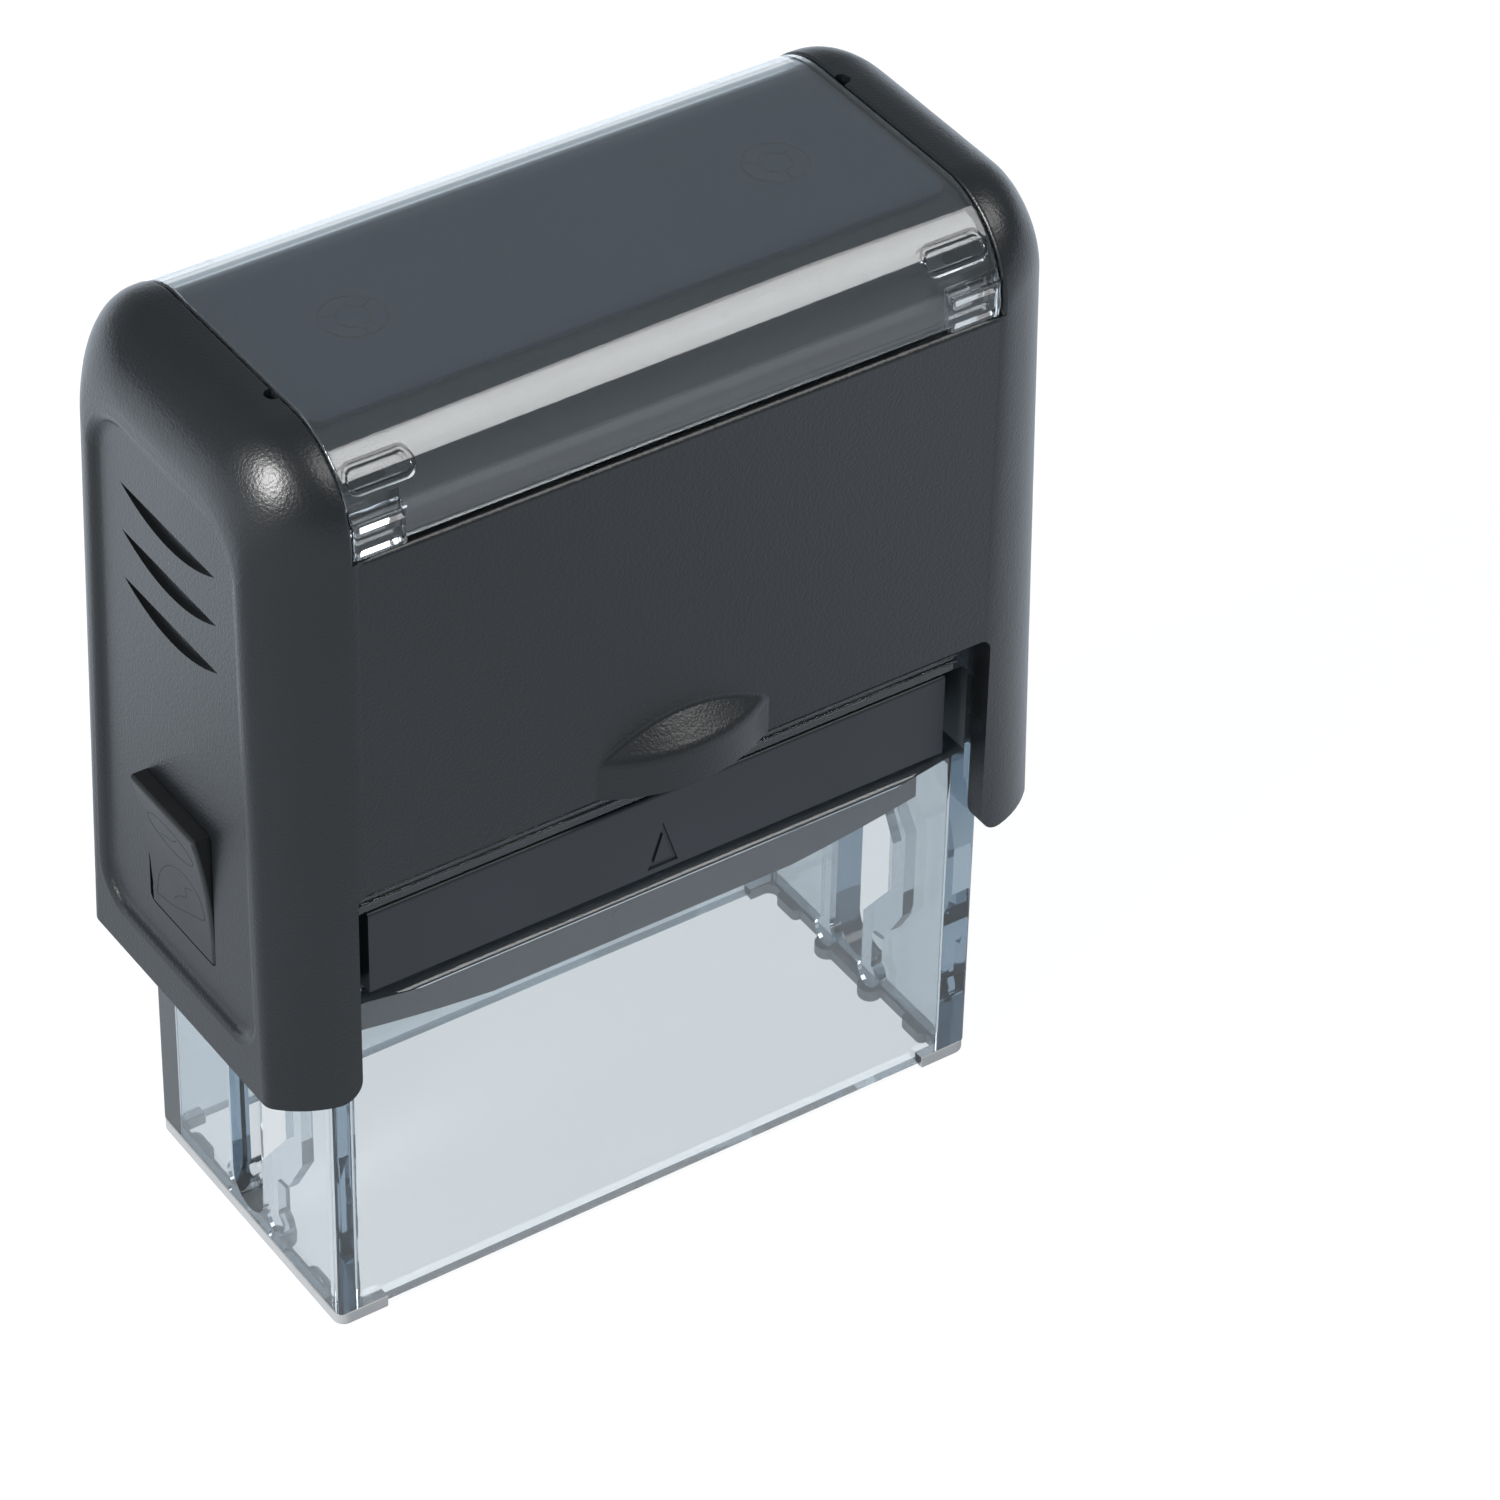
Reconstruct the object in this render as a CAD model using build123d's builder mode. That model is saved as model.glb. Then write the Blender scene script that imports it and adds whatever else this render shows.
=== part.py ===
"""Self-inking stamp: a spring-loaded cap slides down a clear frame and turns the die from pad to paper."""
from build123d import *
import os
from math import asin, atan2, cos, pi, sin, sqrt

os.makedirs("parts", exist_ok=True)

# ---------------------------------------------------------------- driving dimensions, mm
# Frame: X along the length, Y through the depth (front is -Y), Z up, z = 0 under the feet.
stroke = 21.4                # travel of the cap, from rest down to the paper

# clear base frame
base_length = 53.5
base_depth = 24.7
base_top = 45.5
end_wall = 1.8
side_wall = 1.5
base_corner = 0.4            # the frame's upright corners in plan
foot_corner = 0.9            # the same on the soft feet
foot_height = 1.1
foot_step_y = 8.2            # small steps on the inner side of each foot
foot_return = 3.9            # how far a foot runs round onto the front and back walls
skirt_gap = 0.7              # height of the long walls above the table

# pad bay in the base
lip_top = 28.7               # top edge of the long walls, under the pad tray
lip_rise = 0.6               # the lip rises to its ends
lip_slope = 3.4
lip_edge = 0.45              # rounding of the opening's long edges
rail_bottom = 28.3           # rails under the tray's ends
rib_bottom = 2.6             # guide ribs beside the axle slots
tray_length = 48.8
tray_notch = 0.9             # the tray's front and back faces stop this far short of its ends
tray_notch_deep = 1.6
tray_corner = 0.35
arrow_base = 2.5             # insertion arrow on the tray
arrow_side = 4.0
arrow_deep = 0.15
tray_bottom = 29.6
tray_top = 36.5
roof_bottom = 37.0
roof_thick = 1.6
pad_length = 46.4
pad_depth = 19.2
pad_bottom = 30.0

# die
axle_z = 25.4                # axle height at rest
axle_radius = 1.25
die_length = 46.0
die_depth = 18.4
carrier_down = 3.2           # carrier's back below the axle
carrier_up = 2.2
carrier_bow = 2.1            # how much the carrier's back rises to its ends
carrier_edge = 0.6
ear_radius = 3.9             # ears that hold the cam pins
ear_thick = 1.4
cushion_thick = 0.6
plate_thick = 0.5
relief = 0.6                 # height of the printing relief
hub_radius = 1.9
axle_half = 29.0
hub_seat = 2.5               # how deep a hub bush sits in the carrier
slot_half = 2.1
pin_arm = 2.95               # cam pin from the axle
pin_radius = 0.8
pocket_skin = 0.6            # wall left outside each cam pocket

# cap
cap_length = 63.0            # at the foot of the legs; the end faces lean inwards from there
top_length = 62.1            # the same at the top, before rounding
cap_depth = 28.9
panel_half = 25.5            # where the flat front and back turn into the corner arcs
corner_arc = 7.9             # radius of those arcs in plan
corner_radius = 1.2          # where an arc meets the end face
end_narrowing = 1.6          # how far each corner has moved in at the top, against its foot
end_steps = 9                # sections that shape each end
cap_top = 75.7
leg_bottom = 22.7
front_edge = 40.5            # lower edge of the front and back panels
leg_inner = 25.55            # inner edge of each leg, from the middle
leg_corner = 0.9
sole_corner = 1.8            # the same at the foot of a leg
crown_radius = 7.0           # front and back top edges
end_crown_radius = 5.0       # the same, where they reach the end faces
shoulder_radius = 5.3        # end top edges
cavity_half_length = 29.3
cavity_half_depth = 12.75
cavity_top = 67.2
window_half = 25.05          # half length of the index window
window_depth = 28.6
window_bottom = 68.0
window_thick = 0.9
crown_depth = 24.9
crown_edge = 3.8             # radius of the crown's long edges
crown_gap = 0.2
card_thick = 0.35
crown_wall = 1.4
clip_length = 4.1            # window clips, one at each end of both skirts
clip_height = 2.75
notch_deep = 0.45             # sloping grip notches in the skirts, over each clip
notch_low = 68.2
notch_high = 70.0
crown_slot_z = 72.3          # height of the round-ended slots in the crown, above the clips
crown_slot_length = 3.3
crown_slot_height = 0.7
ring_z = 73.05               # round-ended ring grooves in the window, over those slots
ring_length = 5.2
ring_height = 1.7
ring_width = 0.3
ring_deep = 0.2
window_edge = 0.22
skirt_chamfer = 0.3
pry_notch_y = 5.2            # small notch beside each end of the window
pry_notch_radius = 0.6
window_lift = 0.25           # the window's skirts stand on their clips, clear of the casing
clip_edge = 0.3

# springs and lock buttons
spring_x = 16.4
spring_radius = 4.0
spring_wire = 0.75
guide_length = 10.0
button_width = 8.4
button_low = 29.6
button_high = 41.0
button_top_x = 32.2          # how far out the button's upper edge stands
button_foot_x = 30.9
panel_recess = 0.55
panel_softness = 0.9
groove_depth = 0.5
bump_half = 7.3              # thumb bumps on the front and back edges
bump_rise = 2.3
bump_wall = 3.0              # upright part of a bump, and its whole height
bump_height = 5.4
running_gap = 0.05

base_end = base_length / 2
base_front = base_depth / 2
end_inner = base_end - end_wall
opening_half = end_inner + 0.3
side_inner = base_front - side_wall
roof_top = roof_bottom + roof_thick
end_run = cap_length / 2 - panel_half
end_tilt = atan2((cap_length - top_length) / 2, cap_top - leg_bottom)
crown_top = cap_top - window_thick - card_thick - crown_gap
crown_inner = crown_top - crown_wall
SIDES = (("left", -1), ("right", 1))


def finish(part, name):
    """Labels a finished piece and writes it to its own file."""
    part.label = name
    export_step(part, f"parts/{name}.step")
    print(name, "volume", round(part.volume, 1))


# ---------------------------------------------------------------- base frame
def make_base_frame():
    """Clear one-piece frame: four walls, a roof over the pad bay, cam slots in both end walls."""
    with BuildPart() as base_frame:
        # outer tube
        with BuildSketch(Plane.XY.offset(skirt_gap)):
            RectangleRounded(base_length, base_depth, base_corner)
        extrude(amount=base_top - skirt_gap)
        with BuildSketch(Plane.XY.offset(skirt_gap)):
            RectangleRounded(2 * end_inner, 2 * side_inner, 0.5)
        extrude(amount=base_top - skirt_gap, mode=Mode.SUBTRACT)
        # roof over the pad tray
        with BuildSketch(Plane.XY.offset(roof_bottom)):
            Rectangle(2 * end_inner + 0.4, 2 * side_inner + 0.4)
        extrude(amount=roof_thick)
        # rails that carry the tray's ends
        with BuildSketch(Plane.XY.offset(rail_bottom)):
            with Locations((-(end_inner - 0.65), 0), (end_inner - 0.65, 0)):
                Rectangle(1.7, 2 * side_inner + 0.4)
        extrude(amount=tray_bottom - 0.1 - rail_bottom)
        # guide ribs beside each axle slot, with a round foot
        with BuildSketch(Plane.XY.offset(rib_bottom)):
            for side in (-1, 1):
                for rib in (-1, 1):
                    with Locations((side * (end_inner - 0.4), rib * (slot_half + 0.6))):
                        Rectangle(1.1, 1.2)
        extrude(amount=rail_bottom + 0.1 - rib_bottom)
        for side in (-1, 1):
            for rib in (-1, 1):
                with BuildSketch(Plane.YZ.offset(side * (end_inner - 0.95))):
                    with Locations((rib * (slot_half + 0.7), 2.3)):
                        Circle(1.15)
                extrude(amount=side * 1.4)
        # raised rim round each cam pocket
        for side in (-1, 1):
            with BuildSketch(Plane.YZ.offset(side * (end_inner - 0.95))):
                with BuildLine():
                    Polyline(
                        (-1.2, 23.2),
                        (-4.2, 22.2),
                        (-6.9, 18.6),
                        (-6.9, 10.9),
                        (-4.6, 6.9),
                        (-1.2, 6.4),
                        close=True,
                    )
                make_face()
            extrude(amount=side * 1.2)
        # feet seats: the end walls stand a foot's height above the table
        with BuildSketch(Plane.XY.offset(skirt_gap)):
            for side in (-1, 1):
                with Locations((side * (base_end - foot_return / 2 + 0.5), 0)):
                    Rectangle(foot_return + 1.0, base_depth + 2)
        extrude(amount=foot_height + 0.02 - skirt_gap, mode=Mode.SUBTRACT)
        # tray opening through the front and back walls
        with BuildSketch(Plane.XZ):
            with BuildLine():
                Polyline(
                    (-opening_half, roof_bottom),
                    (-opening_half, lip_top + lip_rise),
                    (lip_slope - opening_half, lip_top),
                    (opening_half - lip_slope, lip_top),
                    (opening_half, lip_top + lip_rise),
                    (opening_half, roof_bottom),
                    close=True,
                )
            opening = make_face()
            fillet(opening.vertices().group_by(Axis.Y)[-1], radius=0.7)
        extrude(amount=base_depth, both=True, mode=Mode.SUBTRACT)
        # axle slot, open at the top, with a blind cam pocket on its front side
        with BuildSketch(Plane.YZ):
            slot_low = axle_z - stroke - 0.1
            with Locations((0, slot_low)):
                Circle(slot_half)
            with Locations((0, (slot_low + base_top + 1) / 2)):
                Rectangle(2 * slot_half, base_top + 1 - slot_low)
        extrude(amount=base_length, both=True, mode=Mode.SUBTRACT)
        for side in (-1, 1):
            with BuildSketch(Plane.YZ.offset(side * (base_end - pocket_skin))):
                with BuildLine():
                    Polyline(
                        (-1.0, 21.3),
                        (-slot_half, 21.3),
                        (-4.4, 18.6),
                        (-5.4, 16.7),
                        (-5.4, 12.4),
                        (-4.1, 10.7),
                        (-slot_half, 8.0),
                        (-1.0, 8.0),
                        close=True,
                    )
                make_face()
            extrude(amount=-side * 2 * end_wall, mode=Mode.SUBTRACT)
        # the slot doesn't cut the roof or the spring cups
        with BuildSketch(Plane.XY.offset(roof_bottom)):
            Rectangle(2 * end_inner - 1.2, 2 * side_inner)
        extrude(amount=roof_thick)
        # spring cups on the roof
        with BuildSketch(Plane.XY.offset(roof_top)):
            with Locations((-spring_x, 0), (spring_x, 0)):
                Circle(spring_radius + 1.5)
                Circle(spring_radius + 0.4, mode=Mode.SUBTRACT)
                Circle(1.8)
        extrude(amount=1.4)
        # stiffening ribs of the front and back beams, above the tray
        with BuildSketch(Plane.XY.offset(roof_top)):
            for x in (-21.0, -12.0, 0.0, 12.0, 21.0):
                with Locations((x, side_inner - 0.6), (x, 0.6 - side_inner)):
                    Rectangle(0.9, 1.4)
        extrude(amount=4.6)
        # thin ridges along the outside of both beams
        for side in (-1, 1):
            with BuildSketch(Plane.YZ):
                for height in (roof_bottom + 0.75, roof_bottom + 1.35):
                    with Locations((side * base_front, height)):
                        Circle(0.16)
            extrude(amount=opening_half - 1.0, both=True)
        lips = base_frame.edges().filter_by(Axis.X)
        lips = lips.filter_by_position(Axis.Z, lip_top - 0.01, lip_top + 0.01)
        fillet(lips, radius=lip_edge)
    return base_frame.part


# ---------------------------------------------------------------- feet
def make_foot(side):
    """Soft translucent strip under one end wall, returning round both corners."""
    with BuildPart() as foot:
        with BuildSketch(Plane.XY):
            RectangleRounded(base_length + 0.2, base_depth + 0.2, foot_corner)
            RectangleRounded(2 * end_inner - 0.5, 2 * side_inner - 0.2, 0.6, mode=Mode.SUBTRACT)
            with Locations((side * (base_end - foot_return - base_length / 2), 0)):
                Rectangle(base_length, base_depth + 4, mode=Mode.SUBTRACT)
            with Locations((side * (end_inner - 0.1), 0)):
                Rectangle(1.6, 2 * slot_half + 2.4)
            # round knobs under the guide ribs, and a small step near each corner
            for y in (-1, 1):
                with Locations((side * (end_inner - 0.6), y * (slot_half + 0.7))):
                    Circle(0.95)
                with Locations((side * (end_inner - 0.1), y * foot_step_y)):
                    RectangleRounded(1.4, 2.6, 0.5)
        extrude(amount=foot_height)
        fillet(foot.edges().group_by(Axis.Z)[0], radius=0.3)
    return foot.part


# ---------------------------------------------------------------- pad tray and ink pad
def make_pad_tray():
    """Open-bottomed cartridge that slides in from the front and holds the ink pad face down."""
    with BuildPart() as pad_tray:
        with BuildSketch(Plane.XY.offset(tray_bottom)):
            RectangleRounded(tray_length, base_depth - 0.4, 0.5)
        extrude(amount=tray_top - tray_bottom)
        with BuildSketch(Plane.XY.offset(tray_bottom)):
            RectangleRounded(pad_length + 0.2, pad_depth + 0.2, 0.8)
        extrude(amount=4.9, mode=Mode.SUBTRACT)
        # upright notches where the long faces end
        with BuildSketch(Plane.XY.offset(tray_bottom)):
            for x in (-1, 1):
                for y in (-1, 1):
                    with Locations((x * tray_length / 2, y * (base_front - 0.2))):
                        Rectangle(2 * tray_notch, 2 * tray_notch_deep)
        extrude(amount=tray_top - tray_bottom, mode=Mode.SUBTRACT)
        # insertion arrow, a thin outline in the front face
        with BuildSketch(Plane.XZ.offset(base_front - 0.2)):
            with Locations((0, tray_bottom + 1.7)):
                Triangle(a=arrow_base, b=arrow_side, c=arrow_side)
                Triangle(a=arrow_base * 0.6, b=arrow_side * 0.6, c=arrow_side * 0.6, mode=Mode.SUBTRACT)
        extrude(amount=-arrow_deep, mode=Mode.SUBTRACT)
        long_edges = pad_tray.edges().filter_by(Axis.X).group_by(Axis.Z)[-1]
        fillet(long_edges, radius=tray_corner)
    return pad_tray.part


def make_ink_pad():
    """Soaked felt-and-foam block in the tray."""
    with BuildPart() as ink_pad:
        with BuildSketch(Plane.XY.offset(pad_bottom)):
            RectangleRounded(pad_length, pad_depth, 0.7)
        extrude(amount=4.4)
        fillet(ink_pad.edges().group_by(Axis.Z)[0], radius=0.5)
    return ink_pad.part


# ---------------------------------------------------------------- die
def make_die_carrier():
    """Block that turns on the axle; its back is bowed, and round ears at its ends hold the cam pins."""
    half = die_length / 2
    back = axle_z - carrier_down
    with BuildPart() as die_carrier:
        with BuildSketch(Plane.YZ.offset(-half)):
            with BuildLine():
                Polyline(
                    (-die_depth / 2, axle_z + carrier_up),
                    (-die_depth / 2, back + carrier_edge),
                    (-die_depth / 2 + carrier_edge, back),
                    (die_depth / 2 - carrier_edge, back),
                    (die_depth / 2, back + carrier_edge),
                    (die_depth / 2, axle_z + carrier_up),
                    close=True,
                )
            make_face()
        extrude(amount=die_length)
        # bowed back, highest at the ends
        with BuildSketch(Plane.XZ):
            with BuildLine():
                bow = ThreePointArc((-half, back + carrier_bow), (0, back), (half, back + carrier_bow))
                Line(bow @ 1, (half, axle_z + carrier_up))
                Line((half, axle_z + carrier_up), (-half, axle_z + carrier_up))
                Line((-half, axle_z + carrier_up), bow @ 0)
            make_face()
        extrude(amount=die_depth, both=True, mode=Mode.INTERSECT)
        # ears for the cam pins
        for side in (-1, 1):
            with BuildSketch(Plane.YZ.offset(side * half)):
                with Locations((0, axle_z)):
                    Circle(ear_radius)
                with Locations((0, axle_z + carrier_up + ear_radius)):
                    Rectangle(4 * ear_radius, 2 * ear_radius, mode=Mode.SUBTRACT)
            extrude(amount=-side * ear_thick)
        # small round moulding mark on the front side
        with BuildSketch(Plane.XZ.offset(die_depth / 2)):
            with Locations((-2.1, axle_z - 0.4)):
                Circle(0.55)
        extrude(amount=0.1)
        # seat for the hub bushes and the axle's bore
        with BuildSketch(Plane.YZ):
            with Locations((0, axle_z)):
                Circle(axle_radius + running_gap)
        extrude(amount=half + 1, both=True, mode=Mode.SUBTRACT)
        for side in (-1, 1):
            with BuildSketch(Plane.YZ.offset(side * (half - hub_seat))):
                with Locations((0, axle_z)):
                    Circle(hub_radius + 0.02)
            extrude(amount=side * 4.0, mode=Mode.SUBTRACT)
            with BuildSketch(Plane.YZ.offset(side * (half - 1.0))):
                with Locations((0, axle_z - pin_arm)):
                    Circle(pin_radius + 0.02)
            extrude(amount=side * 2.0, mode=Mode.SUBTRACT)
    return die_carrier.part


def make_hub_bush(side):
    """Slippery bush in the carrier's end; it turns on the axle and runs in the base's slot."""
    inner_x = die_length / 2 - hub_seat
    with BuildPart() as hub_bush:
        with BuildSketch(Plane.YZ.offset(side * inner_x)):
            with Locations((0, axle_z)):
                Circle(hub_radius)
                Circle(axle_radius + running_gap, mode=Mode.SUBTRACT)
        extrude(amount=side * (base_end + 0.1 - inner_x))
    return hub_bush.part


def make_cam_pin(side):
    """Short steel pin in the carrier's ear; the cam pocket in the base catches it and turns the die."""
    inner_x = die_length / 2 - 1.0
    with BuildPart() as cam_pin:
        with BuildSketch(Plane.YZ.offset(side * inner_x)):
            with Locations((0, axle_z - pin_arm)):
                Circle(pin_radius)
        extrude(amount=side * (base_end - pocket_skin - 0.2 - inner_x))
        fillet(cam_pin.edges().group_by(Axis.X)[0 if side < 0 else -1], radius=0.25)
    return cam_pin.part


def make_die_cushion():
    """Foam layer between the carrier and the printing plate."""
    with BuildPart() as die_cushion:
        with BuildSketch(Plane.XY.offset(axle_z + carrier_up)):
            RectangleRounded(die_length - 0.4, die_depth - 0.4, 0.5)
        extrude(amount=cushion_thick)
    return die_cushion.part


def make_text_plate():
    """Rubber printing plate: a plain frame and three plain bars stand up from it as its relief."""
    with BuildPart() as text_plate:
        with BuildSketch(Plane.XY.offset(axle_z + carrier_up + cushion_thick)):
            RectangleRounded(die_length - 0.6, die_depth - 0.6, 0.5)
        extrude(amount=plate_thick)
        with BuildSketch(Plane.XY.offset(axle_z + carrier_up + cushion_thick + plate_thick)):
            RectangleRounded(die_length - 1.4, die_depth - 1.4, 0.8)
            RectangleRounded(die_length - 2.8, die_depth - 2.8, 0.4, mode=Mode.SUBTRACT)
            with Locations((0, 4.2)):
                Rectangle(36.0, 1.8)
            Rectangle(28.0, 1.8)
            with Locations((0, -4.2)):
                Rectangle(32.0, 1.8)
        extrude(amount=relief)
    return text_plate.part


# ---------------------------------------------------------------- cap
def round_top(width, top, radius):
    """An upright profile from z = 0 to top with its two upper corners rounded."""
    with BuildSketch(mode=Mode.PRIVATE) as profile:
        with Locations((0, top / 2)):
            Rectangle(width, top)
        fillet(profile.vertices().group_by(Axis.Y)[-1], radius=radius)
    return profile.sketch


def corner_path(turn):
    """How far the plan's corner has run along X and moved in along Y once it has turned by an angle."""
    wide = corner_arc - corner_radius
    wide_turn = min(turn, asin((end_run - corner_radius) / wide))
    run = wide * sin(wide_turn) + corner_radius * sin(turn)
    inset = wide * (1 - cos(wide_turn)) + corner_radius * (1 - cos(turn))
    return run, inset


def end_plane(side, run):
    """Plane across the cap, a run past the flat panels; it tilts inwards as it nears the end face."""
    tilt = end_tilt * max(0.0, run) / end_run
    outward = (side * cos(tilt), 0, sin(tilt))
    return Plane(origin=(side * (panel_half + run), 0, leg_bottom), x_dir=(0, side, 0), z_dir=outward)


def end_profile(run, inset):
    """The cap's outline on such a plane, from the foot of the legs up."""
    fall = max(0.0, run - end_run + shoulder_radius)
    drop = shoulder_radius - sqrt(max(0.0, shoulder_radius**2 - fall**2))
    top = cap_top - leg_bottom - drop
    foot_half = cap_depth / 2 - inset
    share = max(0.0, run) / end_run
    top_half = foot_half - end_narrowing * share
    with BuildSketch(mode=Mode.PRIVATE) as profile:
        with BuildLine():
            Polyline((-foot_half, 0), (foot_half, 0), (top_half, top), (-top_half, top), close=True)
        make_face()
        upper = profile.vertices().group_by(Axis.Y)[-1]
        fillet(upper, radius=crown_radius + share * (end_crown_radius - crown_radius))
    return profile.sketch


def thumb_bump(side):
    """Part of a flat cone that stands out of the front (-1) or back (1) edge of the cap."""
    wall = cap_depth / 2 - 0.3
    radius = (bump_half**2 + bump_rise**2) / (2 * bump_rise)
    axis_y = side * (wall + bump_rise - radius)
    with BuildPart(mode=Mode.PRIVATE) as bump:
        with BuildSketch(Plane.XZ.offset(-axis_y)) as section:
            with BuildLine():
                Polyline(
                    (0, front_edge),
                    (radius, front_edge),
                    (radius, front_edge + bump_wall),
                    (radius - bump_rise, front_edge + bump_height),
                    (0, front_edge + bump_height),
                    close=True,
                )
            make_face()
            fillet(section.vertices().group_by(Axis.X)[-1].sort_by(Axis.Y)[-1], radius=1.2)
        revolve(axis=Axis((0, axis_y, 0), (0, 0, 1)))
        with BuildSketch(Plane.XY.offset(front_edge)):
            with Locations((0, side * (wall + 5.0))):
                Rectangle(4 * bump_half, 10.0)
        extrude(amount=2 * bump_height, mode=Mode.INTERSECT)
    return bump.part


def on_outer_side(edge):
    """True for an edge on the casing's front or back panel."""
    return abs(abs((edge @ 0.5).Y) - cap_depth / 2) < 0.05


def outside_crown(edge):
    """True for an edge at the window's end that the window doesn't cover."""
    middle = edge @ 0.5
    return abs(middle.Y) > crown_depth / 2 + 0.45 or middle.Z > cap_top - 0.5


def make_casing():
    """Outer cap: two end walls with four legs, front and back panels, and a crown under the index window."""
    with BuildPart() as casing:
        # straight middle, and an end drawn through narrowing sections on each side of it
        with BuildSketch(end_plane(1, -panel_half)):
            add(end_profile(-panel_half, 0))
        extrude(amount=panel_half - 0.6, both=True)
        for side in (-1, 1):
            with BuildSketch(end_plane(side, -0.6)):
                add(end_profile(-0.6, 0))
            for step in range(end_steps + 1):
                run, inset = corner_path(step / end_steps * pi / 2)
                with BuildSketch(end_plane(side, run)):
                    add(end_profile(run, inset))
            loft()
        # room for the window: everything outside the crown, between the two end walls
        with BuildSketch(Plane.YZ):
            with Locations((0, window_bottom + 9.95)):
                Rectangle(cap_depth + 2, 20.0)
            add(round_top(crown_depth, crown_top, crown_edge), mode=Mode.SUBTRACT)
        extrude(amount=window_half + 0.1, both=True, mode=Mode.SUBTRACT)
        # cavity for the base, and the hollow crown above it
        with BuildSketch(Plane.XY.offset(leg_bottom - 1)):
            RectangleRounded(2 * cavity_half_length, 2 * cavity_half_depth, 3.0)
        extrude(amount=cavity_top - leg_bottom + 1, mode=Mode.SUBTRACT)
        with BuildSketch(Plane.YZ):
            add(round_top(crown_depth - 2 * crown_wall, crown_inner, crown_edge - crown_wall))
        extrude(amount=window_half - crown_wall, both=True, mode=Mode.SUBTRACT)
        # front and back edges, with small round corners at the legs
        with BuildSketch(Plane.XZ):
            add(round_top(2 * leg_inner, front_edge, leg_corner))
        extrude(amount=cap_depth, both=True, mode=Mode.SUBTRACT)
        soles = casing.edges().filter_by(Axis.Y)
        soles = soles.filter_by_position(Axis.Z, leg_bottom - 0.05, leg_bottom + 0.05)
        fillet(soles.filter_by_position(Axis.X, -leg_inner - 0.05, leg_inner + 0.05), radius=sole_corner)
        # pockets in the crown for the window's clips
        with BuildSketch(Plane.XY.offset(window_bottom - 0.05)):
            for x in (-1, 1):
                for y in (-1, 1):
                    with Locations((x * (window_half + 0.2 - clip_length / 2), y * crown_depth / 2)):
                        Rectangle(clip_length + 0.8, 1.8)
        extrude(amount=clip_height + 0.4, mode=Mode.SUBTRACT)
        with BuildSketch(Plane.XZ):
            for x in (-1, 1):
                with Locations((x * (window_half - crown_slot_length / 2 - 0.3), crown_slot_z)):
                    SlotOverall(crown_slot_length, crown_slot_height)
        extrude(amount=cap_depth / 2, both=True, mode=Mode.SUBTRACT)
        for side in (-1, 1):
            add(thumb_bump(side))
        for side in (-1, 1):
            face = end_plane(side, end_run)
            # recessed panel with sloping, softly rounded sides
            with BuildSketch(face) as panel:
                with BuildLine():
                    Polyline((-10.3, 3.4), (10.3, 3.4), (9.2, 46.4), (-9.2, 46.4), close=True)
                make_face()
                fillet(panel.vertices().group_by(Axis.Y)[-1], radius=4.4)
                fillet(panel.vertices().group_by(Axis.Y)[0], radius=3.0)
            extrude(amount=-panel_recess, taper=50, mode=Mode.SUBTRACT)
            fillet(casing.faces(Select.LAST).sort_by(SortBy.AREA)[-1].edges(), radius=panel_softness)
            end_face = casing.faces().filter_by(GeomType.PLANE)
            end_face = end_face.filter_by(lambda f: len(f.inner_wires()) == 1)
            rim = end_face.sort_by(Axis.X)[0 if side < 0 else -1].inner_wires()[0]
            fillet(rim.edges(), radius=panel_softness)
            # three finger grooves in its floor
            with BuildSketch(face):
                for height in (33.3, 37.2, 41.1):
                    with BuildLine():
                        Line((-6.1, height), (6.1, height))
                        ThreePointArc((-6.1, height), (0, height - 1.5), (6.1, height))
                    make_face()
            extrude(amount=-panel_recess - groove_depth, mode=Mode.SUBTRACT)
            # button hole
            with BuildSketch(Plane.YZ.offset(side * (cavity_half_length - 1))):
                with Locations((0, (button_low + button_high) / 2)):
                    RectangleRounded(button_width + 0.4, button_high - button_low + 0.3, 0.6)
                with Locations((0, 0.4)):
                    RectangleRounded(button_width + 0.4, button_high - button_low + 0.3, 0.6)
            extrude(amount=side * 5, mode=Mode.SUBTRACT)
            # axle socket
            with BuildSketch(Plane.YZ.offset(side * (base_end + 0.4))):
                with Locations((0, axle_z)):
                    Circle(2.5)
            extrude(amount=side * (cavity_half_length + 0.3 - base_end - 0.4))
            with BuildSketch(Plane.YZ.offset(side * (base_end + 0.4))):
                with Locations((0, axle_z)):
                    Circle(axle_radius + 0.02)
            extrude(amount=side * (axle_half + 0.1 - base_end - 0.4), mode=Mode.SUBTRACT)
        # soft edges where the casing meets the window
        ledges = casing.edges().filter_by(Axis.X)
        ledges = ledges.filter_by_position(Axis.Z, window_bottom - 0.1, window_bottom)
        fillet(ledges.filter_by(on_outer_side), radius=0.4)
        for side in (-1, 1):
            end = side * (window_half + 0.1)
            slot_end = casing.edges().filter_by_position(Axis.X, end - 0.02, end + 0.02)
            slot_end = slot_end.filter_by_position(Axis.Z, window_bottom, cap_top)
            fillet(slot_end.filter_by(outside_crown), radius=0.25)
        # soft roots of the thumb bumps
        low_edges = casing.edges().filter_by_position(Axis.Z, front_edge + 0.1, front_edge + bump_height)
        bump_roots = low_edges.filter_by_position(Axis.X, -bump_half, bump_half)
        fillet(bump_roots.filter_by(on_outer_side), radius=0.5)
        # a small notch beside each end of the window, for a fingernail
        with BuildSketch(Plane.XY.offset(cap_top - window_thick)):
            for side in (-1, 1):
                with Locations((side * (window_half + 0.3), side * pry_notch_y)):
                    Circle(pry_notch_radius)
        extrude(amount=2 * window_thick, mode=Mode.SUBTRACT)
    return casing.part


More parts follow.
